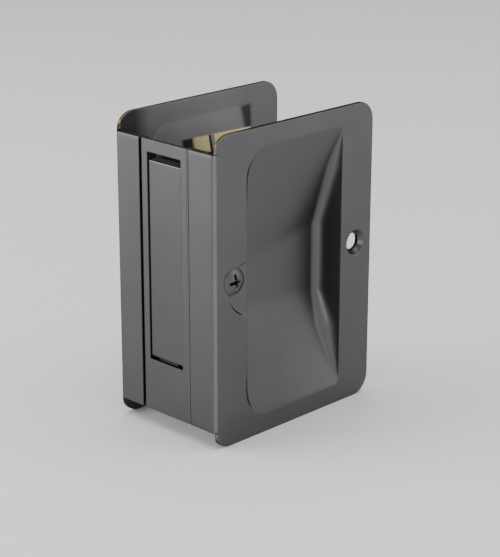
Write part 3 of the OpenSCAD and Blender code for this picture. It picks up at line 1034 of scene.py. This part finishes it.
def plated_metal(name, low, high, rough, bends=None):
    """Satin dark plating: a slow change of tone, and a fine tooth that breaks up the gloss.

    Where a tone for the bends is given, the bends at the door's edge get a painted highlight in it, and
    the sides of the finger cup get painted shade.
    """
    material, tree, shader = new_material(name, 1.0)
    shader.inputs["Specular Tint"].default_value = (0.6, 0.6, 0.6, 1)
    colour = toned(tree, low, high)
    if bends:
        # painted highlight on the bends, and painted shade on the cup's steep side and at its corners
        colour = painted_bend_highlight(tree, colour, bends)
        colour = painted_shade_steep_side(tree, colour)
        colour = painted_shade_corners(tree, colour)
    tree.links.new(colour, shader.inputs["Base Color"])
    roughened(tree, shader, rough - 0.03, rough + 0.03)
    toothed(tree, shader, noise(tree, 2500, 2), 0.002 * mm)
    return material


def drawn_metal(name, low, high, rough):
    """Bare metal with fine lines along the bars and pins, and a slow change of tone."""
    material, tree, shader = new_material(name, 1.0)
    lines = noise(tree, 3000, 3, (1, 0.03, 1))
    tree.links.new(toned(tree, low, high, 150, 4), shader.inputs["Base Color"])
    roughness = ramp(tree, lines, 0, 1, rough - 0.06, rough + 0.08)
    tree.links.new(roughness, shader.inputs["Roughness"])
    toothed(tree, shader, lines, 0.006 * mm)
    return material


def brass_height(tree):
    """One between the lower and the upper end of the bare brass, which slopes a little."""
    place = tree.nodes.new("ShaderNodeTexCoord")
    tilt = tree.nodes.new("ShaderNodeVectorMath")
    tilt.operation = "DOT_PRODUCT"
    tilt.inputs[1].default_value = (brass_fall, 0, 1)
    tree.links.new(place.outputs["Object"], tilt.inputs[0])
    return band(tree, tilt.outputs["Value"], brass_low, brass_high, 0.5 * mm)


def inside_painted_shading(tree, across, near_grey):
    """The inner side's plating, with painted shade at the fold, painted light beside it and less painted
    light towards the far end.
    """
    dark_grey = toned(tree, (0.05, 0.05, 0.051), (0.06, 0.06, 0.061))
    far_grey = toned(tree, (0.105, 0.105, 0.108), (0.12, 0.12, 0.123))
    far = ramp(tree, across, edge_x + near_grey_x, edge_x + far_grey_x)
    past_fold = ramp(tree, across, edge_x + fold_dark_x, edge_x + fold_grey_x)
    return mixed(tree, past_fold, dark_grey, mixed(tree, far, near_grey, far_grey))


def plate_inside(name):
    """The plates' inner side: duller plating with painted shade and light, which leaves brass bare behind
    the finger cup.
    """
    material, tree, shader = new_material(name, 0.8)
    shader.inputs["Specular IOR Level"].default_value = 0.25
    across, up = axes(tree)["X"], axes(tree)["Z"]
    near_grey = toned(tree, (0.18, 0.18, 0.183), (0.2, 0.2, 0.203))
    dark = toned(tree, (0.016, 0.016, 0.018), (0.024, 0.024, 0.026), 90)
    bare = toned(tree, (0.52, 0.43, 0.22), (0.6, 0.5, 0.28), 300)
    colour = inside_painted_shading(tree, across, near_grey)
    bulge = band(tree, up, cup_end - 0.5 * mm, plate_h - cup_end + 0.5 * mm, 1 * mm)
    below = band(tree, up, brass_low, hollow_high, 1.5 * mm)
    height = brass_height(tree)
    # Each patch lies over the ones before it
    for start, stop, soft, at_height, tone in (
        # painted shade on the steep side of the bulge
        (cup_foot - 1.2 * mm, cup_right + 1.9 * mm, 1.6 * mm, bulge, dark),
        # painted shadow beside the brass
        (shade_x0, shade_x1, 1.2 * mm, height, dark),
        # painted shade from the brass towards the cheeks
        (hollow_x0, shade_x1, 1.2 * mm, below, dark),
        (brass_x, cup_right + sheet_t, 1.5 * mm, height, bare),
        (dark_line_x0, grey_line_x1, 0.2 * mm, height, near_grey),
        # painted shade line across the brass
        (dark_line_x0, dark_line_x1, 0.2 * mm, height, dark),
    ):
        at_width = band(tree, across, edge_x + start, edge_x + stop, soft)
        colour = mixed(tree, combined(tree, "MULTIPLY", at_width, at_height), colour, tone)
    tree.links.new(colour, shader.inputs["Base Color"])
    roughened(tree, shader, 0.42, 0.5)
    return material


def cut_edge(name):
    """The plates' cut edges: dark, with brass showing at the upper corner by the fold."""
    material, tree, shader = new_material(name, 1.0)
    parts = axes(tree)
    worn = combined(tree, "MULTIPLY", ramp(tree, parts["X"], edge_x + worn_end_x, edge_x + worn_x),
                    ramp(tree, parts["Z"], worn_end_z, worn_z))
    dark = toned(tree, (0.03, 0.03, 0.032), (0.04, 0.04, 0.042), 200)
    bare = toned(tree, (0.12, 0.1, 0.06), (0.15, 0.13, 0.08), 300)
    tree.links.new(mixed(tree, worn, dark, bare), shader.inputs["Base Color"])
    roughened(tree, shader, 0.36, 0.44)
    return material


# the tone given for the bends is a painted highlight
sheet_metal = plated_metal("plated_sheet", (0.1, 0.1, 0.103), (0.11, 0.11, 0.114), 0.4,
                           bends=(0.16, 0.16, 0.163))
pull_metal = plated_metal("plated_pull", (0.1, 0.1, 0.103), (0.11, 0.11, 0.114), 0.3)
inside_metal = plate_inside("plate_inside")
frame_metal = plated_metal("frame_inside", (0.03, 0.03, 0.031), (0.04, 0.04, 0.041), 0.45)
edge_metal = cut_edge("cut_edge")
screw_metal = plated_metal("plated_screw", (0.09, 0.09, 0.094), (0.1, 0.1, 0.104), 0.3)
brass_metal = drawn_metal("raw_brass", (0.42, 0.33, 0.14), (0.5, 0.41, 0.2), 0.34)
steel_metal = drawn_metal("plain_steel", (0.38, 0.38, 0.39), (0.46, 0.46, 0.47), 0.28)


def dressed(obj, *materials):
    """Gives a piece one material, or one each for its outside, inside and rim."""
    sides = [face.material_index for face in obj.data.polygons]
    obj.data.materials.clear()
    for material in materials:
        obj.data.materials.append(material)
    for face, side in zip(obj.data.polygons, sides):
        face.material_index = min(side, len(materials) - 1)


for piece, body, node, slot, material in (
    (front, "front_cup", "front_plate", "plated_sheet", (sheet_metal, inside_metal, edge_metal)),
    (back, "back_cup", "back_plate", "plated_sheet", (sheet_metal, inside_metal, edge_metal)),
    (frame_piece, "frame", "edge_frame", "plated_sheet", (sheet_metal, frame_metal, edge_metal)),
    (pull_piece, "pull", "edge_pull", "plated_sheet", (pull_metal,)),
    (front_screw, "front_screw", "front_plate_screw", "plated_screw", (screw_metal,)),
    (back_screw, "back_screw", "back_plate_screw", "plated_screw", (screw_metal,)),
):
    dressed(piece, *material)
    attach(piece, body)
    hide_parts(node)
for names, material in (
    (("cross_bar", "front_spacer", "back_spacer", "spring_bar"), brass_metal),
    (("stop_pin", "pull_pin", "leaf_spring", "leaf_screw"), steel_metal),
):
    for name in names:
        dressed(nodes[name], material)


# Floor, light and camera
def floor():
    half = 4.0
    corners = [(-half, -half, 0), (half, -half, 0), (half, half, 0), (-half, half, 0)]
    mesh = bpy.data.meshes.new("floor")
    mesh.from_pydata(corners, [], [(0, 1, 2, 3)])
    obj = new_object("floor", mesh)
    material, tree, shader = new_material("floor_paper", 0.0)
    shader.inputs["Roughness"].default_value = 0.9
    shader.inputs["Specular IOR Level"].default_value = 0.0
    paper = toned(tree, (0.86, 0.86, 0.86), (0.88, 0.88, 0.88), 3, 2)
    tree.links.new(paper, shader.inputs["Base Color"])
    dressed(obj, material)


def soft_light(name, centre, target, size, power):
    lamp = bpy.data.lights.new(name, "AREA")
    lamp.shape = "RECTANGLE"
    lamp.size, lamp.size_y = size
    lamp.energy = power
    obj = new_object(name, lamp)
    place = Vector(centre)
    aim = (Vector(target) - place).to_track_quat("-Z", "Y")
    obj.matrix_world = Matrix.Translation(place) @ aim.to_matrix().to_4x4()


def studio(grey, strength):
    """An even grey world that fills the shadows."""
    world = bpy.data.worlds.new("studio")
    bpy.context.scene.world = world
    world.use_nodes = True
    background = world.node_tree.nodes["Background"]
    background.inputs["Color"].default_value = (grey, grey, grey, 1)
    background.inputs["Strength"].default_value = strength


floor()
soft_light("light_top", (0.0, 0.0, 1.6), (0, 0, 0), (2.0, 2.0), 32)
soft_light("light_left", (-0.42, 0.38, 0.25), (0, 0, 0.25), (0.5, 0.5), 3.5)
soft_light("light_right", (0.45, -0.42, 0.25), (0, 0, 0.25), (0.5, 0.5), 1.1)
soft_light("light_front", (0.15, -0.85, 0.3), (0.15, 0, 0.3), (1.2, 0.6), 2.4)
soft_light("light_low", (-0.46, -0.46, 0.14), (0, 0, 0.04), (0.2, 0.12), 1.0)
studio(0.5, 0.2)


def camera():
    """The camera, fitted to the edges in the photo. Its lens is worked out from places in pixels."""
    azimuth, height, roll = math.radians(-46.81), math.radians(19.15), math.radians(0.54)
    place = Vector((-0.28767 + edge_x, -0.29535 + front_y, 0.18760))
    photo_w, photo_h = 500, 557
    focal_px, centre_x, centre_y = 1764.51, 288.94, 287.89
    flat = math.cos(height)
    z = Vector((math.sin(azimuth) * flat, -math.cos(azimuth) * flat, math.sin(height)))
    x = Vector((0, 0, 1)).cross(z).normalized()
    y = z.cross(x)
    x2 = x * math.cos(roll) + y * math.sin(roll)
    y2 = y * math.cos(roll) - x * math.sin(roll)
    turn = Matrix((x2, y2, z)).transposed().to_4x4()
    lens = bpy.data.cameras.new("camera")
    lens.sensor_width = lens.sensor_height = 36.0
    lens.lens = focal_px * lens.sensor_width / photo_h
    lens.shift_x = (photo_w / 2 - centre_x) / photo_h
    lens.shift_y = (centre_y - photo_h / 2) / photo_h
    lens.clip_start = 0.01
    obj = new_object("camera", lens)
    obj.matrix_world = Matrix.Translation(place) @ turn
    bpy.context.scene.camera = obj


camera()
